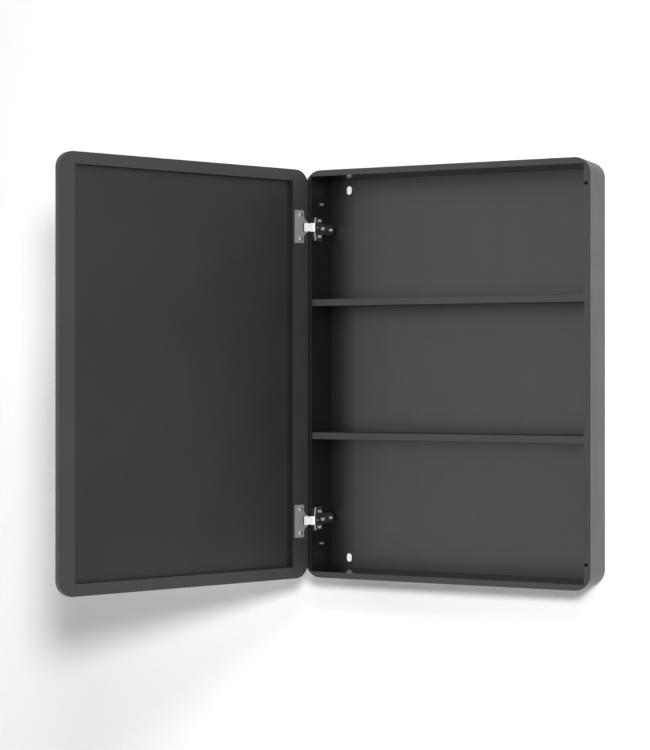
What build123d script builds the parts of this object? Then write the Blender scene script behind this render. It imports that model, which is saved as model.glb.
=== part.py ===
from build123d import *
import math
import os

# Wall-hung medicine cabinet with one mirrored door, in millimetres.
# The origin is the centre of the back face, on the wall. X is the width, Z is up,
# and the front is towards -Y. "Inset" is measured from the left edge, "ahead" from
# the front face of the body towards the front, and "behind" from it to the wall.
# The door is drawn shut and is then swung open to its stop, as it is stored.

# Body
body_width = 508.0
body_height = 711.0
body_depth = 91.0
corner_radius = 27.0
wrap_sheet = 1.0
flange_width = 10.5
flange_sheet = 1.2
flange_skirt = 2.4
flange_edge_round = 1.8
liner_sheet = 0.8
back_sheet = 1.2

# Slots in the back panel, for the wall screws
slot_width = 9.6
slot_length = 15.3
slot_end_distance = 28.5
left_slot_inset = 45.0
right_slot_inset = 22.0

# Shelves
lower_shelf_top = 243.0
shelf_spacing = 232.5
shelf_sheet = 1.0
shelf_lip = 12.0
shelf_setback = 3.0
shelf_end_gap = 0.3
shelf_lip_round = 0.6
rivet_radius = 1.6
rivet_head_radius = 3.0
rivet_head_height = 0.9
rivet_fit = 0.05
rivet_tail = 1.5
rivet_tail_radius = 2.3
rivet_drop = 6.6
rivet_edge_distance = 18.0

# Rubber bumpers on the free side of the flange
bumper_radius = 2.9
bumper_height = 2.2
bumper_round = 0.9
bumper_stem_radius = 1.5
bumper_stem_length = 4.0
bumper_edge_inset = 7.0
bumper_end_distance = 43.5

# Pegs pressed into the two spare holes of the left liner
plug_hole_radius = 1.9
plug_head_radius = 2.3
plug_head_height = 6.6
plug_head_round = 1.2
plug_stem_length = 4.0
plug_fit = 0.05
plug_behind = 39.5
plug_end_distance = 56.4

# Door
door_gap = 2.5
door_thickness = 14.0
door_wall = 1.2
door_front_round = 3.0
door_back_round = 1.5
hinge_stile = 34.5
free_stile = 29.5
door_rail = 20.0
recess_depth = 9.6
panel_sheet = 0.6
pad_thickness = 0.6
mirror_thickness = 3.0
mirror_rim = 3.0
mirror_fit = 0.3
mirror_edge_round = 0.6
open_angle = 117.0

# Hinges
hinge_end_distance = 99.5
pivot_inset = 2.9
pivot_depth = 4.9
pin_radius = 1.0
pin_fit = 0.05
pin_seat_fit = 0.02
knuckle_radius = 1.8
arm_strip = 2.0
arm_height = 14.8
arm_stand_off = 3.5
arm_tail = 80.0
arm_lean = 51.8
arm_nose = 2.0
arm_clearance = 0.3
arm_side_sheet = 1.0
arm_side_drop = 1.2
arm_side_front = 22.0
arm_side_gap = 0.3
arm_body_rise = 2.3
arm_body_round = 0.8
arm_waist_inset = 9.2
arm_waist_radius = 2.0
arm_waist_depth = 1.0

plate_sheet = 2.0
plate_front = 9.0
plate_wide_end = 44.5
plate_tail_margin = 4.0
plate_sweep = 4.0
plate_round = 3.0
plate_wide_height = 41.0
plate_narrow_height = 18.0
plate_shift = 1.8
bead_width = 3.2
bead_slope = 1.2
plate_screw_behind = 33.5
plate_screw_spacing = 27.0

cup_height = 17.4
cup_sheet = 1.0
cup_cheek = 1.0
cup_depth = 9.4
cup_edge = 0.9
cup_far_edge = 15.6
cup_far_wall = 3.2
cup_mouth_end = 14.8
cup_pocket_edge = 0.6
cup_pocket_fit = 0.3
cup_notch_depth = 4.6
cup_flange_sheet = 1.6
cup_flange_height = 57.0
cup_flange_near = 11.4
cup_flange_far = 31.5
cup_neck_near = 1.6
cup_neck_height = 17.0
cup_neck_radius = 12.0
cup_flange_round = 1.5
cup_ramp_width = 4.6
cup_ramp_drop = 1.3
cup_screw_inset = 18.8
cup_screw_spacing = 41.2
spring_sheet = 0.3
spring_height = 11.0
spring_near = 4.6
spring_far = 12.0

# Screws
wood_shank_radius = 1.75
plate_head_radius = 4.6
plate_head_height = 3.4
plate_head_round = 1.9
plate_screw_length = 9.5
cup_head_radius = 3.3
cup_head_height = 2.2
cup_head_round = 1.2
cup_screw_length = 7.0
set_head_radius = 1.9
set_head_height = 0.6
centre_head_radius = 4.6
tail_head_radius = 4.8
arm_head_height = 3.2
arm_head_round = 1.7
arm_screw_radius = 1.5
arm_screw_length = 3.2
set_screw_behind = 11.0
centre_screw_behind = 35.0
tail_screw_end_distance = 9.5
screw_fit = 0.1
cross_width = 0.8
cross_depth = 1.0
cross_share = 0.6
round_share = 0.6

# Positions worked out from the sizes
half_width = body_width / 2
half_height = body_height / 2
liner_half_width = half_width - flange_width
liner_half_height = half_height - flange_width
liner_floor = -liner_half_height
liner_length = body_depth - back_sheet - flange_sheet
door_back = -body_depth - door_gap
hinge_height = half_height - hinge_end_distance
pivot_ahead = door_gap + pivot_depth


def across(inset):
    """X of a point measured from the left edge."""
    return inset - half_width


def ahead(distance):
    """Y of a point measured forwards from the front face of the body."""
    return -body_depth - distance


def slab(width, height, radius, back, thickness):
    """Rounded plate in the plane of the door, from back towards the front."""
    outline = Plane.XZ.offset(-back) * RectangleRounded(width, height, radius)
    return extrude(outline, thickness)


def block(x_low, x_high, y_low, y_high, z_low, z_high):
    """Square-edged block between two corners."""
    centre = Pos((x_low + x_high) / 2, (y_low + y_high) / 2, (z_low + z_high) / 2)
    return centre * Box(x_high - x_low, y_high - y_low, z_high - z_low)


def rod(radius, start, direction, length):
    """Cylinder that starts at a point and runs along a direction."""
    place = Plane(origin=start, z_dir=direction).location
    return place * Cylinder(radius, length, align=(Align.CENTER, Align.CENTER, Align.MIN))


def pan_screw(head_radius, head_height, head_round, shank_radius, shank_length, seat, direction):
    """Pan-head cross-recess screw: the head rises from the seat along the direction."""
    bottom = (Align.CENTER, Align.CENTER, Align.MIN)
    top = (Align.CENTER, Align.CENTER, Align.MAX)
    head = Cylinder(head_radius, head_height, align=bottom)
    rim = head.edges().sort_by(Axis.Z)[-1]
    head = fillet(rim, min(head_round, head_height * round_share))
    arm = 2 * head_radius * cross_share
    depth = min(cross_depth, head_height * round_share)
    cross = Box(arm, cross_width, depth, align=top) + Box(cross_width, arm, depth, align=top)
    head = head - Pos(0, 0, head_height) * cross
    shank = Cylinder(shank_radius, shank_length, align=top)
    place = Plane(origin=seat, z_dir=direction).location
    return place * (head + shank)


def save(name, solids):
    """Write one node as parts/NAME.step."""
    shape = solids[0] if len(solids) == 1 else Compound(children=solids)
    shape.label = name
    export_step(shape, f"parts/{name}.step")


def make_wrap():
    depth = body_depth - flange_skirt
    outer = slab(body_width, body_height, corner_radius, 0, depth)
    inner = slab(body_width - 2 * wrap_sheet, body_height - 2 * wrap_sheet,
                 corner_radius - wrap_sheet, 0, depth)
    return outer - inner


def bumper_places():
    x = half_width - bumper_edge_inset
    z = half_height - bumper_end_distance
    return [(x, z), (x, -z)]


def make_flange():
    """Front face of the body with its square opening, and a short skirt that meets the wrap."""
    back = -body_depth + flange_skirt
    ring = slab(body_width, body_height, corner_radius, back, flange_skirt)
    ring = fillet(ring.faces().sort_by(Axis.Y)[0].edges(), flange_edge_round)
    ring = ring - slab(body_width - 2 * wrap_sheet, body_height - 2 * wrap_sheet,
                       corner_radius - wrap_sheet, back, flange_skirt - flange_sheet)
    opening = block(-liner_half_width, liner_half_width, -body_depth, -body_depth + flange_sheet,
                    -liner_half_height, liner_half_height)
    ring = ring - opening
    for x, z in bumper_places():
        ring = ring - rod(bumper_stem_radius, (x, -body_depth, z), (0, 1, 0), flange_sheet)
    return ring


def make_bumper(x, z):
    bottom = (Align.CENTER, Align.CENTER, Align.MIN)
    dome = Cylinder(bumper_radius, bumper_height, align=bottom)
    dome = fillet(dome.edges().sort_by(Axis.Z)[-1], bumper_round)
    dome = Plane(origin=(x, -body_depth, z), z_dir=(0, -1, 0)).location * dome
    stem = rod(bumper_stem_radius - plug_fit, (x, -body_depth, z), (0, 1, 0), bumper_stem_length)
    return dome + stem


def slot_places():
    left = across(left_slot_inset)
    right = half_width - right_slot_inset
    height = half_height - slot_end_distance
    return [(x, z) for x in (left, right) for z in (height, -height)]


def make_back_panel():
    panel = slab(body_width - 2 * wrap_sheet, body_height - 2 * wrap_sheet,
                 corner_radius - wrap_sheet, 0, back_sheet)
    for x, z in slot_places():
        outline = Plane.XZ * Pos(x, z) * SlotOverall(slot_length, slot_width, rotation=90)
        panel = panel - extrude(outline, back_sheet)
    return panel


def shelf_tops():
    lower = liner_floor + lower_shelf_top
    return {"lower": lower, "upper": lower + shelf_spacing}


def rivet_places(top):
    """Side rivets of one shelf, as depth and height."""
    height = top - rivet_drop
    front = -body_depth + shelf_setback + rivet_edge_distance
    rear = -back_sheet - rivet_edge_distance
    return [(front, height), (rear, height)]


def make_shelf(top):
    side = liner_half_width - shelf_end_gap
    front = -body_depth + shelf_setback
    tray = block(-side, side, front, -back_sheet, top - shelf_lip, top)
    front_edges = tray.edges().filter_by(Axis.X).filter_by(lambda e: e.center().Y < front + 0.01)
    tray = fillet(front_edges, shelf_lip_round)
    hollow = block(-side + shelf_sheet, side - shelf_sheet, front + shelf_sheet,
                   -back_sheet - shelf_sheet, top - shelf_lip, top - shelf_sheet)
    tray = tray - hollow
    for y, z in rivet_places(top):
        tray = tray - rod(rivet_radius + rivet_fit, (-half_width, y, z), (1, 0, 0), body_width)
    return tray


def make_rivet(y, z, sign):
    """Rivet from inside the shelf, through its end and the liner, on the side of the sign."""
    inner = sign * (liner_half_width - shelf_end_gap - shelf_sheet)
    shank_length = shelf_sheet + shelf_end_gap + liner_sheet
    head = rod(rivet_head_radius, (inner, y, z), (-sign, 0, 0), rivet_head_height)
    shank = rod(rivet_radius, (inner, y, z), (sign, 0, 0), shank_length)
    tail_start = (inner + sign * shank_length, y, z)
    tail = rod(rivet_tail_radius, tail_start, (sign, 0, 0), rivet_tail)
    return head + shank + tail


def all_rivets():
    rivets = []
    for top in shelf_tops().values():
        for y, z in rivet_places(top):
            rivets.append(make_rivet(y, z, -1))
            rivets.append(make_rivet(y, z, 1))
    return rivets


def plug_places():
    y = -body_depth + plug_behind
    z = half_height - plug_end_distance
    return [(y, z), (y, -z)]


def make_plug(y, z):
    inner = -liner_half_width
    bottom = (Align.CENTER, Align.CENTER, Align.MIN)
    head = Cylinder(plug_head_radius, plug_head_height, align=bottom)
    head = fillet(head.edges().sort_by(Axis.Z)[-1],
                  min(plug_head_round, plug_head_radius * round_share))
    head = Plane(origin=(inner, y, z), z_dir=(1, 0, 0)).location * head
    return head + rod(plug_hole_radius - plug_fit, (inner, y, z), (-1, 0, 0), plug_stem_length)


def plate_screw_places(height):
    y = -body_depth + plate_screw_behind
    half = plate_screw_spacing / 2
    return [(y, height + half), (y, height - half)]


def make_side_liner(sign):
    """Left or right inner wall, with the holes that its side needs."""
    inner = sign * liner_half_width
    outer = sign * (liner_half_width + liner_sheet)
    tall = liner_half_height + liner_sheet
    back = -back_sheet
    wall = block(min(inner, outer), max(inner, outer), back - liner_length, back, -tall, tall)
    for top in shelf_tops().values():
        for y, z in rivet_places(top):
            wall = wall - rod(rivet_radius + rivet_fit, (inner, y, z), (sign, 0, 0), liner_sheet)
    if sign < 0:
        for y, z in plug_places():
            wall = wall - rod(plug_hole_radius, (inner, y, z), (sign, 0, 0), liner_sheet)
        for height in (hinge_height, -hinge_height):
            for y, z in plate_screw_places(height):
                hole = rod(wood_shank_radius + screw_fit, (inner, y, z), (sign, 0, 0), liner_sheet)
                wall = wall - hole
    return wall


def make_end_liner(sign):
    """Top or bottom inner wall, between the two side walls."""
    inner = sign * liner_half_height
    outer = sign * (liner_half_height + liner_sheet)
    return block(-liner_half_width, liner_half_width, -back_sheet - liner_length, -back_sheet,
                 min(inner, outer), max(inner, outer))


def arm_screw_list():
    """Distance behind the front, head radius and head height of the screws on the arm."""
    return {"set": (set_screw_behind, set_head_radius, set_head_height),
            "centre": (centre_screw_behind, centre_head_radius, arm_head_height),
            "tail": (arm_tail - tail_screw_end_distance, tail_head_radius, arm_head_height)}


def wing_middle(height):
    """The wings of the plate sit a little nearer the middle of the cabinet than the arm."""
    return height - plate_shift if height > 0 else height + plate_shift


def make_mounting_plate(height):
    """Winged plate on the left wall, with a raised bead along its swept front edge."""
    seat = across(flange_width)
    face = seat + plate_sheet
    under_arm = seat + arm_stand_off
    front = -body_depth + plate_front
    swept = front + plate_sweep
    tail = -body_depth + arm_tail + plate_tail_margin
    wide = plate_wide_height / 2
    narrow = plate_narrow_height / 2
    wings = Polygon((front, -narrow), (swept, -wide), (-body_depth + plate_wide_end, -wide),
                    (-body_depth + plate_wide_end, wide), (swept, wide), (front, narrow),
                    align=None)
    wings = fillet(wings.vertices().sort_by(Axis.X)[-2:], plate_round)
    base = extrude(Plane.YZ.offset(seat) * Pos(0, wing_middle(height)) * wings, plate_sheet)
    base = base + block(seat, face, front, tail, height - narrow, height + narrow)
    strip = Polygon((front, -narrow), (swept, -wide), (swept + bead_width, -wide),
                    (front + bead_width, -narrow), (front + bead_width, narrow),
                    (swept + bead_width, wide), (swept, wide), (front, narrow), align=None)
    bead_height = arm_stand_off - plate_sheet
    bead = extrude(Plane.YZ.offset(face) * Pos(0, wing_middle(height)) * strip, bead_height,
                   taper=math.degrees(math.atan2(bead_slope, bead_height)))
    ridge_half = arm_height / 2 - arm_side_sheet - arm_side_gap
    ridge = block(face, under_arm, front, -body_depth + arm_tail, height - ridge_half,
                  height + ridge_half)
    plate = base + bead + ridge
    for y, z in plate_screw_places(height):
        plate = plate - rod(wood_shank_radius + screw_fit, (seat, y, z), (1, 0, 0), plate_sheet)
    for behind, _, _ in arm_screw_list().values():
        start = (under_arm, -body_depth + behind, height)
        plate = plate - rod(arm_screw_radius + screw_fit, start, (-1, 0, 0), arm_stand_off)
    return plate


def thick_path(points, width):
    """Strip of one width along straight runs, with round corners and ends."""
    strip = Pos(points[0][0], points[0][1]) * Circle(width / 2)
    for first, second in zip(points, points[1:]):
        run_x, run_y = second[0] - first[0], second[1] - first[1]
        middle = Pos((first[0] + second[0]) / 2, (first[1] + second[1]) / 2)
        angle = math.degrees(math.atan2(run_y, run_x))
        strip = strip + middle * Rot(0, 0, angle) * Rectangle(math.hypot(run_x, run_y), width)
        strip = strip + Pos(second[0], second[1]) * Circle(width / 2)
    return strip


def make_arm(height):
    """Arm: a body along the wall, and a ramp that reaches over the flange to the pin."""
    inner_face = flange_width + arm_stand_off
    cover_face = inner_face + arm_strip + arm_body_rise
    lean_x, lean_y = math.cos(math.radians(arm_lean)), math.sin(math.radians(arm_lean))
    beside_pin = knuckle_radius - arm_strip / 2
    middle = (pivot_inset + beside_pin * lean_x, pivot_ahead + beside_pin * lean_y)
    root_run = (inner_face + arm_strip * round_share - middle[0]) / lean_y
    nose = (middle[0] - arm_nose * lean_y, middle[1] + arm_nose * lean_x)
    root = (middle[0] + root_run * lean_y, middle[1] - root_run * lean_x)
    points = [(across(inset), ahead(distance)) for inset, distance in (nose, root)]
    plan = thick_path(points, arm_strip)
    plan = plan + Pos(across(pivot_inset), ahead(pivot_ahead)) * Circle(knuckle_radius)
    low = height - arm_height / 2
    arm = extrude(Pos(0, 0, low) * plan, arm_height)
    waist_distance = arm_height / 2 + arm_waist_radius - arm_waist_depth
    for side in (-1, 1):
        waist = (across(arm_waist_inset), ahead(nose[1] + arm_strip), height + side * waist_distance)
        arm = arm - rod(arm_waist_radius, waist, (0, 1, 0), nose[1] + arm_strip)
    cover_front = ahead(door_gap - cup_flange_sheet - arm_clearance)
    cover = block(across(inner_face), across(cover_face), cover_front,
                  -body_depth + arm_tail, low, low + arm_height)
    cover = fillet(cover.faces().sort_by(Axis.X)[-1].edges(),
                   min(arm_body_round, arm_body_rise * round_share))
    arm = arm + cover
    for side in (-1, 1):
        outside = height + side * arm_height / 2
        inside = outside - side * arm_side_sheet
        arm = arm + block(across(inner_face - arm_side_drop), across(inner_face),
                          -body_depth + arm_side_front, -body_depth + arm_tail,
                          min(inside, outside), max(inside, outside))
    pin_start = (across(pivot_inset), ahead(pivot_ahead), low)
    arm = arm - rod(pin_radius + pin_fit, pin_start, (0, 0, 1), arm_height)
    for behind, _, _ in arm_screw_list().values():
        start = (across(inner_face), -body_depth + behind, height)
        arm = arm - rod(arm_screw_radius + screw_fit, start, (1, 0, 0), arm_strip + arm_body_rise)
    return arm


def make_arm_screw(height, kind):
    behind, head_radius, head_height = arm_screw_list()[kind]
    through = arm_strip + arm_body_rise
    seat = (across(flange_width + arm_stand_off + through), -body_depth + behind, height)
    return pan_screw(head_radius, head_height, arm_head_round, arm_screw_radius,
                     through + arm_screw_length, seat, (1, 0, 0))


def make_plate_screws(height):
    seat_x = across(flange_width + plate_sheet)
    screws = []
    for y, z in plate_screw_places(height):
        screws.append(pan_screw(plate_head_radius, plate_head_height, plate_head_round,
                                wood_shank_radius, plate_screw_length, (seat_x, y, z), (1, 0, 0)))
    return screws


def cup_screw_places(height):
    half = cup_screw_spacing / 2
    return [(across(cup_screw_inset), height + half), (across(cup_screw_inset), height - half)]


def make_door_frame():
    frame = slab(body_width, body_height, corner_radius, door_back, door_thickness)
    frame = fillet(frame.faces().sort_by(Axis.Y)[0].edges(), door_front_round)
    frame = fillet(frame.faces().sort_by(Axis.Y)[-1].edges(), door_back_round)
    pocket_back = door_back - recess_depth
    pocket = slab(body_width - 2 * mirror_rim, body_height - 2 * mirror_rim,
                  corner_radius - mirror_rim, pocket_back, door_thickness - recess_depth)
    left = across(hinge_stile)
    right = half_width - free_stile
    tall = half_height - door_rail
    window = block(left, right, pocket_back, door_back, -tall, tall)
    hollow = slab(body_width - 2 * door_wall, body_height - 2 * door_wall,
                  corner_radius - door_wall, door_back - door_wall, recess_depth - door_wall)
    hollow = hollow - block(left - door_wall, right + door_wall, pocket_back, door_back,
                            -tall - door_wall, tall + door_wall)
    frame = frame - pocket - window - hollow
    half = cup_height / 2 + cup_pocket_fit
    for height in (hinge_height, -hinge_height):
        frame = frame - block(across(cup_pocket_edge), across(cup_far_edge + cup_pocket_fit),
                              pocket_back, door_back, height - half, height + half)
        frame = frame - block(across(0), across(cup_pocket_edge), door_back - cup_notch_depth,
                              door_back, height - half, height + half)
        for x, z in cup_screw_places(height):
            frame = frame - rod(wood_shank_radius + screw_fit, (x, door_back, z), (0, -1, 0),
                                door_wall)
    return frame


def layer(back, thickness):
    """One of the flat layers that lie in the front pocket of the door."""
    inset = 2 * (mirror_rim + mirror_fit)
    return slab(body_width - inset, body_height - inset, corner_radius - inset / 2, back, thickness)


def make_cup(height):
    """Hinge cup: a small trough let into the stile, with a screwed flange on the stile."""
    half = cup_height / 2
    near = across(cup_edge)
    far = across(cup_far_edge)
    floor = door_back - cup_depth
    trough = block(near, far, floor, door_back, height - half, height + half)
    trough = trough - block(near, far - cup_far_wall, floor + cup_sheet, door_back,
                            height - half + cup_cheek, height + half - cup_cheek)
    flange_back = door_back + cup_flange_sheet
    flange = block(across(cup_flange_near), across(cup_flange_far), door_back, flange_back,
                   height - cup_flange_height / 2, height + cup_flange_height / 2)
    flange = fillet(flange.edges().filter_by(Axis.Y), cup_flange_round)
    ramp_start = across(cup_flange_far - cup_ramp_width)
    ramp = Polygon((ramp_start, flange_back), (across(cup_flange_far), flange_back),
                   (across(cup_flange_far), flange_back - cup_ramp_drop), align=None)
    ramp = Pos(0, 0, height - cup_flange_height / 2) * ramp
    flange = flange - extrude(ramp, cup_flange_height)
    bite_distance = cup_neck_height / 2 + cup_neck_radius
    neck = block(across(cup_neck_near), across(cup_flange_near), door_back, flange_back,
                 height - bite_distance, height + bite_distance)
    for side in (-1, 1):
        bite = (across(cup_flange_near - cup_neck_radius), door_back, height + side * bite_distance)
        neck = neck - rod(cup_neck_radius, bite, (0, 1, 0), cup_flange_sheet)
    flange = flange + neck
    mouth = block(across(0), across(cup_mouth_end), door_back, flange_back,
                  height - half + cup_cheek, height + half - cup_cheek)
    cup = trough + (flange - mouth)
    pin_start = (across(pivot_inset), ahead(pivot_ahead), height - half)
    cup = cup - rod(pin_radius + pin_seat_fit, pin_start, (0, 0, 1), cup_height)
    for x, z in cup_screw_places(height):
        cup = cup - rod(wood_shank_radius + screw_fit, (x, flange_back, z), (0, -1, 0),
                        cup_flange_sheet)
    return cup


def make_pin(height):
    start = (across(pivot_inset), ahead(pivot_ahead), height - cup_height / 2)
    return rod(pin_radius, start, (0, 0, 1), cup_height)


def make_spring(height):
    floor = door_back - cup_depth + cup_sheet
    half = spring_height / 2
    return block(across(spring_near), across(spring_far), floor, floor + spring_sheet,
                 height - half, height + half)


def make_cup_screws(height):
    seat_y = door_back + cup_flange_sheet
    screws = []
    for x, z in cup_screw_places(height):
        screws.append(pan_screw(cup_head_radius, cup_head_height, cup_head_round,
                                wood_shank_radius, cup_screw_length, (x, seat_y, z), (0, 1, 0)))
    return screws


def body_nodes():
    nodes = {"outer_wrap": [make_wrap()],
             "front_flange": [make_flange()],
             "back_panel": [make_back_panel()],
             "left_liner": [make_side_liner(-1)],
             "right_liner": [make_side_liner(1)],
             "top_liner": [make_end_liner(1)],
             "bottom_liner": [make_end_liner(-1)],
             "shelf_rivets": all_rivets(),
             "side_hole_plugs": [make_plug(y, z) for y, z in plug_places()]}
    for name, top in shelf_tops().items():
        nodes[name + "_shelf"] = [make_shelf(top)]
    for name, place in zip(("upper", "lower"), bumper_places()):
        nodes[name + "_bumper"] = [make_bumper(*place)]
    for name, height in (("upper", hinge_height), ("lower", -hinge_height)):
        nodes[name + "_mounting_plate"] = [make_mounting_plate(height)]
        nodes[name + "_plate_screws"] = make_plate_screws(height)
        nodes[name + "_hinge_arm"] = [make_arm(height)]
        for kind in arm_screw_list():
            nodes[name + "_" + kind + "_screw"] = [make_arm_screw(height, kind)]
    return nodes


def door_nodes():
    panel_back = door_back - recess_depth
    pad_back = panel_back - panel_sheet
    glass_back = pad_back - pad_thickness
    glass = layer(glass_back, mirror_thickness)
    glass = chamfer(glass.faces().sort_by(Axis.Y)[0].edges(), mirror_edge_round)
    nodes = {"door_frame": [make_door_frame()],
             "door_back_panel": [layer(panel_back, panel_sheet)],
             "mirror_pad": [layer(pad_back, pad_thickness)],
             "mirror_glass": [glass]}
    for name, height in (("upper", hinge_height), ("lower", -hinge_height)):
        nodes[name + "_hinge_cup"] = [make_cup(height)]
        nodes[name + "_hinge_pin"] = [make_pin(height)]
        nodes[name + "_closing_spring"] = [make_spring(height)]
        nodes[name + "_cup_screws"] = make_cup_screws(height)
    return nodes


os.makedirs("parts", exist_ok=True)

for node, solids in body_nodes().items():
    save(node, solids)

hinge_axis = Axis((across(pivot_inset), ahead(pivot_ahead), 0), (0, 0, 1))
for node, solids in door_nodes().items():
    save(node, [solid.rotate(hinge_axis, -open_angle) for solid in solids])
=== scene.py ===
import math

import bpy
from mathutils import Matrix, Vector

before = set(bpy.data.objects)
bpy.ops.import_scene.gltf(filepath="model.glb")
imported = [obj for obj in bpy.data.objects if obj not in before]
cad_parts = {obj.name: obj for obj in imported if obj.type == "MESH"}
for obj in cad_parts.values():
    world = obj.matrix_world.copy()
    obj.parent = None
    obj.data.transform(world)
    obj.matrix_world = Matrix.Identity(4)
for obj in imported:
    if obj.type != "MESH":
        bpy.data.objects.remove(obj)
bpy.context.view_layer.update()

# Wall-hung medicine cabinet, dressed with materials and set on a white stage. Metres, Z up, the
# wall at Y = 0 and the front towards -Y.

# Camera, placed so that the cabinet and its open door fall where the photograph has them
camera_place = (1.09163, -3.11061, 0.0)
camera_yaw = 26.257
camera_lens = 90.583
camera_sensor = 36.0
camera_shift = (0.1242, -0.00144)
camera_near = 0.01
camera_far = 100.0

# Stage: how much light it throws back, and the colour that the camera sees
stage_colour = (0.8, 0.8, 0.8, 1.0)
stage_shown_colour = (1.0, 1.0, 1.0, 1.0)
stage_reach = 6.0
wall_behind = 0.0006
floor_height = -1.5

# Distances from the cabinet between which the stage goes over to plain white
fade_start = 1.5
fade_end = 2.6

# Lamps in front of the cabinet, and the even light from all round
ambient_level = 0.1
front_turn = 21.6
front_distance = 3.4

# Angle at which the door stands open in the frame
door_angle = 117.0

# Plating: how bright worn edges are, and where the painted shade on the plating starts behind the front
# of the cabinet
worn_level = 0.92
shade_from = -0.0905
shade_blend = 0.0004

# Slight cool tint of all greys
cool_tint = 1.01


# Node helpers

def add_node(tree, kind, inputs=None, **settings):
    """Add a node, set its properties, and give or link its inputs."""
    made = tree.nodes.new(kind)
    for name, value in settings.items():
        setattr(made, name, value)
    for key, value in (inputs or {}).items():
        if isinstance(value, bpy.types.NodeSocket):
            tree.links.new(value, made.inputs[key])
        else:
            made.inputs[key].default_value = value
    return made


def new_material(name):
    """Empty node material."""
    material = bpy.data.materials.new(name)
    material.use_nodes = True
    material.node_tree.nodes.clear()
    return material


def new_finish(name):
    """Material with a plain shader, and the place on the object as the start of its patterns."""
    material = new_material(name)
    tree = material.node_tree
    shader = add_node(tree, "ShaderNodeBsdfPrincipled")
    add_node(tree, "ShaderNodeOutputMaterial", {"Surface": shader.outputs[0]})
    place = add_node(tree, "ShaderNodeTexCoord").outputs["Object"]
    return material, tree, shader, place


def noise(tree, place, scale, detail=3.0, roughness=0.5):
    """Grey noise, scale in repeats to the metre."""
    inputs = {"Vector": place, "Scale": scale, "Detail": detail, "Roughness": roughness}
    return add_node(tree, "ShaderNodeTexNoise", inputs).outputs["Fac"]


def spread(tree, value, low, high, new_low, new_high):
    """Stretch a value from one range to another, held at both ends."""
    inputs = {"Value": value, "From Min": low, "From Max": high, "To Min": new_low, "To Max": new_high}
    return add_node(tree, "ShaderNodeMapRange", inputs).outputs["Result"]


def combine(tree, operation, first, second):
    """Two values made into one."""
    return add_node(tree, "ShaderNodeMath", {0: first, 1: second}, operation=operation).outputs[0]


def match_directions(tree, first, second):
    """1 where two directions are the same, -1 where they are opposite."""
    made = add_node(tree, "ShaderNodeVectorMath", {0: first, 1: second}, operation="DOT_PRODUCT")
    return made.outputs["Value"]


def mix_colour(tree, share, first, second):
    """Blend of two colours."""
    made = add_node(tree, "ShaderNodeMix", data_type="RGBA")
    for socket, value in ((made.inputs[0], share), (made.inputs[6], first), (made.inputs[7], second)):
        if isinstance(value, bpy.types.NodeSocket):
            tree.links.new(value, socket)
        else:
            socket.default_value = value
    return made.outputs[2]


def bump(tree, height, strength, distance, under=None):
    """Bump normal from a height, on top of another one if given."""
    inputs = {"Height": height, "Strength": strength, "Distance": distance}
    if under is not None:
        inputs["Normal"] = under
    return add_node(tree, "ShaderNodeBump", inputs).outputs["Normal"]


def edge_share(tree, radius, most):
    """0 on flat faces, rising to the most at sharp edges."""
    flat_match = 0.98
    edge_match = 0.8
    soft = add_node(tree, "ShaderNodeBevel", {"Radius": radius}, samples=4).outputs["Normal"]
    sharp = add_node(tree, "ShaderNodeNewGeometry").outputs["Normal"]
    return spread(tree, match_directions(tree, soft, sharp), flat_match, edge_match, 0.0, most)


def in_reflections(tree, rays):
    """1 for the rays by which metal and glass show their surroundings."""
    return combine(tree, "MAXIMUM", rays.outputs["Is Glossy Ray"], rays.outputs["Is Transmission Ray"])


def grey(level):
    """Grey of one level."""
    return (level, level, level * cool_tint, 1.0)


# Materials

def powder_coat(name, level, ior, rough_low, rough_high, mottle=0.18):
    """Fine powder coat: dark, slightly cloudy, with a faint orange-peel surface, and edges lightened
    partly as rubbed wear and partly as a painted highlight.
    """
    cloud_scale = 7.0
    speck_scale = 900.0
    speck_share = 0.25
    speck_gain = 2.2
    edge_radius = 0.0006
    wear_and_highlight_scale = 60.0
    edge_mix_share = 0.5
    wear_and_highlight_gain = 4.0
    gloss_scale = 18.0
    peel_scale = 520.0
    grain_scale = 2600.0
    material, tree, shader, place = new_finish(name)

    cloud = spread(tree, noise(tree, place, cloud_scale, 4.0, 0.6), 0.35, 0.68, 0.0, 1.0)
    base = mix_colour(tree, cloud, grey(level * (1 - mottle)), grey(level * (1 + mottle)))
    speck = spread(tree, noise(tree, place, speck_scale, 2.0), 0.4, 0.66, 0.0, speck_share)
    base = mix_colour(tree, speck, base, grey(level * speck_gain))
    # Lighter edges: partly rubbed wear, partly a painted highlight where rounded edges catch the light.
    wear_and_highlight_patches = spread(tree, noise(tree, place, wear_and_highlight_scale, 5.0, 0.7), 0.42, 0.62, 0.0, edge_mix_share)
    wear_and_highlight = combine(tree, "MULTIPLY", edge_share(tree, edge_radius, 1.0), wear_and_highlight_patches)
    base = mix_colour(tree, wear_and_highlight, base, grey(level * wear_and_highlight_gain))
    tree.links.new(base, shader.inputs["Base Color"])

    gloss = spread(tree, noise(tree, place, gloss_scale, 6.0, 0.7), 0.3, 0.7, rough_low, rough_high)
    tree.links.new(gloss, shader.inputs["Roughness"])
    peel = bump(tree, noise(tree, place, peel_scale, 2.0, 0.4), 0.18, 0.0002)
    grain = bump(tree, noise(tree, place, grain_scale, 1.0), 0.1, 0.00005, peel)
    tree.links.new(grain, shader.inputs["Normal"])
    shader.inputs["IOR"].default_value = ior
    return material


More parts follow.
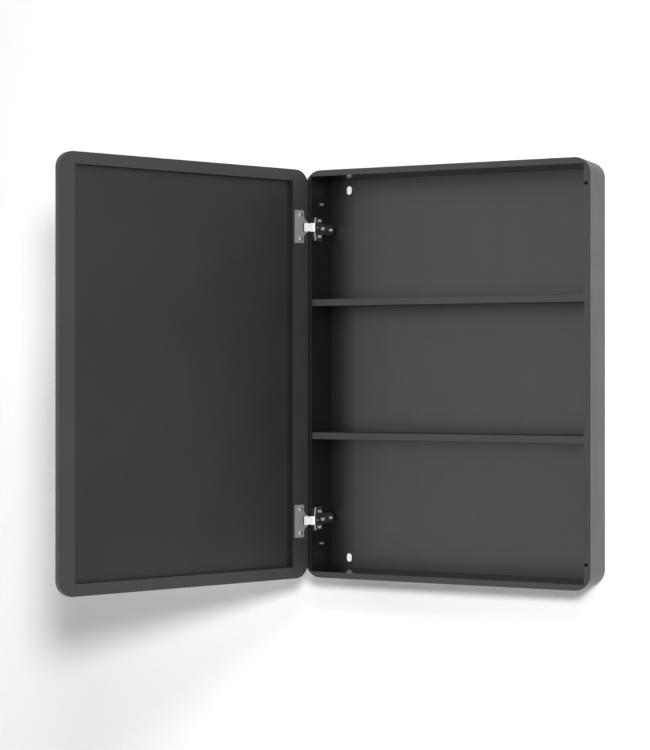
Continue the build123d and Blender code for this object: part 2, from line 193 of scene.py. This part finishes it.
def plated_steel(name, level, rough_low, rough_high, shade_level=None, flat_faces=False):
    """Plated sheet steel: faint drawn lines, a little haze and bright worn edges. With a shade level,
    the plating is painted darker behind the front of the cabinet, as painted shade inside it. With
    flat faces, no face is rounded off by its shading."""
    line_scale = (260.0, 260.0, 2600.0)
    haze_scale = 140.0
    haze_dip = 0.9
    shade_haze_dip = 0.8
    edge_radius = 0.0004
    edge_mix_share = 0.5
    material, tree, shader, place = new_finish(name)

    haze = spread(tree, noise(tree, place, haze_scale, 5.0, 0.65), 0.35, 0.65, 0.0, 1.0)
    base = mix_colour(tree, haze, grey(level * haze_dip), grey(level))
    base = mix_colour(tree, edge_share(tree, edge_radius, edge_mix_share), base, grey(worn_level))
    # Painted shade: behind the front of the cabinet the plating is painted darker, standing in for the
    # shade inside the cabinet.
    if shade_level is not None:
        depth = add_node(tree, "ShaderNodeSeparateXYZ", {"Vector": place}).outputs["Y"]
        in_shade = spread(tree, depth, shade_from, shade_from + shade_blend, 0.0, 1.0)
        shaded_plating = mix_colour(tree, haze, grey(shade_level * shade_haze_dip), grey(shade_level))
        base = mix_colour(tree, in_shade, base, shaded_plating)
    tree.links.new(base, shader.inputs["Base Color"])

    tree.links.new(spread(tree, haze, 0.0, 1.0, rough_high, rough_low), shader.inputs["Roughness"])
    lines = add_node(tree, "ShaderNodeMapping", {"Vector": place, "Scale": line_scale})
    drawn = noise(tree, lines.outputs[0], 1.0, 2.0)
    under = add_node(tree, "ShaderNodeNewGeometry").outputs["True Normal"] if flat_faces else None
    tree.links.new(bump(tree, drawn, 0.08, 0.00005, under), shader.inputs["Normal"])
    shader.inputs["Metallic"].default_value = 1.0
    return material


def soft_plastic(name, level, roughness, grain_scale, specular=0.5):
    """Moulded rubber or plastic with a fine grain and slight cloudiness."""
    cloud_scale = 400.0
    rough_change = 0.06
    material, tree, shader, place = new_finish(name)
    cloud = noise(tree, place, cloud_scale, 4.0)
    base = mix_colour(tree, cloud, grey(level * 0.75), grey(level * 1.3))
    tree.links.new(base, shader.inputs["Base Color"])
    gloss = spread(tree, cloud, 0.3, 0.7, roughness - rough_change, roughness + rough_change)
    tree.links.new(gloss, shader.inputs["Roughness"])
    grain = bump(tree, noise(tree, place, grain_scale, 2.0), 0.2, 0.0001)
    tree.links.new(grain, shader.inputs["Normal"])
    shader.inputs["Specular IOR Level"].default_value = specular
    return material


def foam_pad(name):
    """Dark closed-cell foam between the glass and the tray."""
    cell_scale = 1400.0
    material, tree, shader, place = new_finish(name)
    cells = add_node(tree, "ShaderNodeTexVoronoi", {"Vector": place, "Scale": cell_scale})
    depth = cells.outputs["Distance"]
    tree.links.new(mix_colour(tree, depth, grey(0.02), grey(0.05)), shader.inputs["Base Color"])
    tree.links.new(bump(tree, depth, 0.5, 0.0002), shader.inputs["Normal"])
    shader.inputs["Roughness"].default_value = 0.9
    return material


def silvered_glass(name):
    """Mirror: silver seen from the front, grey paint behind, green glass at the edges."""
    green_edge = (0.12, 0.24, 0.2, 1.0)
    grey_paint = (0.13, 0.14, 0.15, 1.0)
    silver_dull = (0.84, 0.86, 0.86, 1.0)
    silver_clear = (0.88, 0.9, 0.895, 1.0)
    haze_scale = 11.0
    face_start = 0.9
    face_full = 0.97
    material, tree, shader, place = new_finish(name)

    turn = math.radians(door_angle)
    front = (-math.sin(turn), -math.cos(turn), 0.0)
    facing = add_node(tree, "ShaderNodeTexCoord").outputs["Normal"]
    match = match_directions(tree, facing, front)
    silver = spread(tree, match, face_start, face_full, 0.0, 1.0)
    paint = spread(tree, match, -face_start, -face_full, 0.0, 1.0)

    haze = noise(tree, place, haze_scale, 5.0, 0.65)
    bright = mix_colour(tree, spread(tree, haze, 0.3, 0.7, 0.0, 1.0), silver_dull, silver_clear)
    base = mix_colour(tree, silver, green_edge, bright)
    base = mix_colour(tree, paint, base, grey_paint)
    tree.links.new(base, shader.inputs["Base Color"])
    tree.links.new(silver, shader.inputs["Metallic"])
    tree.links.new(spread(tree, haze, 0.5, 0.8, 0.015, 0.05), shader.inputs["Roughness"])
    return material


coat = powder_coat("charcoal_powder_coat", level=0.009, ior=1.65, rough_low=0.36, rough_high=0.42)
# Painted light and shade: the door, back, liner and side coats are lighter or darker copies of the
# charcoal coat, each with its own sheen, standing in for the light each part gets; the panel coat is
# the door back panel's own finish.
lit_door_coat = powder_coat("charcoal_lit_door_coat", level=0.012, ior=1.65, rough_low=0.42, rough_high=0.48)
shaded_back_coat = powder_coat("charcoal_shaded_back_coat", level=0.002, ior=1.73, rough_low=0.34, rough_high=0.39)
shaded_liner_coat = powder_coat("charcoal_shaded_liner_coat", level=0.005, ior=1.4, rough_low=0.2, rough_high=0.26)
shaded_side_coat = powder_coat("charcoal_shaded_side_coat", level=0.004, ior=1.48, rough_low=0.44, rough_high=0.5)
panel_coat = powder_coat("charcoal_panel_coat", level=0.008, ior=1.53, rough_low=0.45, rough_high=0.52,
                         mottle=0.3)
# The arms' nickel carries painted shade behind the front of the cabinet.
bright_nickel = plated_steel("bright_nickel", level=0.85, rough_low=0.06, rough_high=0.14,
                             shade_level=0.38)
# Painted shade: the mounting plates take a darker copy of the nickel, standing in for the shade inside
# the cabinet.
shaded_nickel = plated_steel("shaded_nickel", level=0.4, rough_low=0.1, rough_high=0.18)
dull_zinc = plated_steel("dull_zinc", level=0.8, rough_low=0.34, rough_high=0.4, flat_faces=True)
screw_zinc = plated_steel("screw_zinc", level=0.66, rough_low=0.16, rough_high=0.26)
rubber = soft_plastic("black_rubber", level=0.004, roughness=0.85, grain_scale=2200.0, specular=0.15)
plastic = soft_plastic("grey_plastic", level=0.14, roughness=0.42, grain_scale=1500.0)
foam = foam_pad("black_foam")
mirror = silvered_glass("silvered_glass")

finish_of_slot = {"charcoal_coat": coat, "galvanised": dull_zinc, "nickel": bright_nickel,
                  "screw_steel": screw_zinc, "black_rubber": rubber, "grey_plastic": plastic,
                  "foam": foam, "mirror": mirror}

# Nodes whose colour or sheen differs from that of their slot: the door back panel has its own finish,
# and the others take lighter or darker copies of the coat and of the nickel as painted light and shade
finish_and_painted_shade_of_node = {"door_frame": lit_door_coat, "door_back_panel": panel_coat, "back_panel": shaded_back_coat,
                  "top_liner": shaded_liner_coat, "bottom_liner": shaded_liner_coat,
                  "left_liner": shaded_side_coat, "right_liner": shaded_side_coat,
                  "upper_mounting_plate": shaded_nickel, "lower_mounting_plate": shaded_nickel}


def dress(node, material):
    """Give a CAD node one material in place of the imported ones."""
    for slot in node.material_slots:
        slot.material = material


def dress_nodes():
    """Give every CAD node the finish of its slot, then its own where it has one; most of these are
    copies with painted light and shade.
    """
    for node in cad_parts.values():
        slot_name = node.material_slots[0].material.name.split(".")[0]
        dress(node, finish_of_slot[slot_name])
    for name, material in finish_and_painted_shade_of_node.items():
        dress(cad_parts[name], material)


# Stage, light and camera

def stage_material(name):
    """White one-sided surface: it keeps the shadow of what stands before it, and is plain
    white in reflections and far from the cabinet."""
    material = new_material(name)
    tree = material.node_tree
    rays = add_node(tree, "ShaderNodeLightPath")
    seen = rays.outputs["Is Camera Ray"]
    colour = mix_colour(tree, seen, stage_colour, stage_shown_colour)
    paint = add_node(tree, "ShaderNodeBsdfDiffuse", {"Color": colour})
    white = add_node(tree, "ShaderNodeEmission", {"Strength": 1.0})

    place = add_node(tree, "ShaderNodeTexCoord").outputs["Object"]
    away = add_node(tree, "ShaderNodeVectorMath", {0: place}, operation="LENGTH").outputs["Value"]
    far = combine(tree, "MULTIPLY", spread(tree, away, fade_start, fade_end, 0.0, 1.0), seen)
    plain = combine(tree, "MAXIMUM", in_reflections(tree, rays), far)
    front = add_node(tree, "ShaderNodeMixShader", {0: plain, 1: paint.outputs[0], 2: white.outputs[0]})

    clear = add_node(tree, "ShaderNodeBsdfTransparent")
    behind = add_node(tree, "ShaderNodeNewGeometry").outputs["Backfacing"]
    whole = add_node(tree, "ShaderNodeMixShader", {0: behind, 1: front.outputs[0], 2: clear.outputs[0]})
    add_node(tree, "ShaderNodeOutputMaterial", {"Surface": whole.outputs[0]})
    return material


def stage_sheet(name, corners, material):
    """Flat sheet of the stage."""
    mesh = bpy.data.meshes.new(name)
    mesh.from_pydata(corners, [], [range(len(corners))])
    sheet = bpy.data.objects.new(name, mesh)
    bpy.context.scene.collection.objects.link(sheet)
    mesh.materials.append(material)


def build_stage():
    """Wall just behind the cabinet, and a floor well below it."""
    white = stage_material("stage_white")
    far, wall, floor = stage_reach, wall_behind, floor_height
    stage_sheet("wall", [(-far, wall, floor), (far, wall, floor), (far, wall, far), (-far, wall, far)],
                white)
    stage_sheet("floor", [(-far, -far, floor), (far, -far, floor), (far, wall, floor),
                          (-far, wall, floor)], white)


def build_world():
    """Even light from all round, which the camera and reflections see as white."""
    world = bpy.data.worlds.new("studio")
    bpy.context.scene.world = world
    world.use_nodes = True
    tree = world.node_tree
    tree.nodes.clear()
    rays = add_node(tree, "ShaderNodeLightPath")
    shown = combine(tree, "MAXIMUM", rays.outputs["Is Camera Ray"], in_reflections(tree, rays))
    level = spread(tree, shown, 0.0, 1.0, ambient_level, 1.0)
    sky = add_node(tree, "ShaderNodeBackground", {"Color": (1.0, 1.0, 1.0, 1.0), "Strength": level})
    add_node(tree, "ShaderNodeOutputWorld", {"Surface": sky.outputs[0]})


def soft_light(name, turn, rise, distance, size, power, in_gloss=False):
    """Round soft light: turn in degrees to the right of the front, rise above the horizon."""
    data = bpy.data.lights.new(name, "AREA")
    lamp = bpy.data.objects.new(name, data)
    bpy.context.scene.collection.objects.link(lamp)
    side, up = math.radians(turn), math.radians(rise)
    away = Vector((math.sin(side) * math.cos(up), -math.cos(side) * math.cos(up), math.sin(up)))
    lamp.location = away * distance
    lamp.rotation_euler = away.to_track_quat("Z", "Y").to_euler()
    data.shape = "DISK"
    data.size = size
    data.energy = power
    lamp.visible_glossy = in_gloss


def build_lights():
    """Two lamps in front, a weak fill on the left, one behind, and a panel for the gloss."""
    soft_light("key_light", front_turn, 9.5, front_distance, size=0.5, power=78.0)
    soft_light("top_light", front_turn, 33.0, front_distance, size=1.0, power=40.0)
    soft_light("left_light", -45.0, 14.0, front_distance, size=1.4, power=6.0)
    soft_light("back_light", 180.0, 57.0, 3.5, size=1.5, power=75.0)
    soft_light("reflected_panel", -24.0, 0.0, 4.0, size=3.4, power=10.0, in_gloss=True)


def build_camera():
    """Camera level with the middle of the cabinet."""
    data = bpy.data.cameras.new("camera")
    camera = bpy.data.objects.new("camera", data)
    bpy.context.scene.collection.objects.link(camera)
    camera.location = camera_place
    camera.rotation_euler = (math.radians(90.0), 0.0, math.radians(camera_yaw))
    data.lens = camera_lens
    data.sensor_width = camera_sensor
    data.shift_x, data.shift_y = camera_shift
    data.clip_start = camera_near
    data.clip_end = camera_far
    bpy.context.scene.camera = camera


dress_nodes()
build_stage()
build_world()
build_lights()
build_camera()
bpy.context.scene.view_settings.view_transform = "Standard"
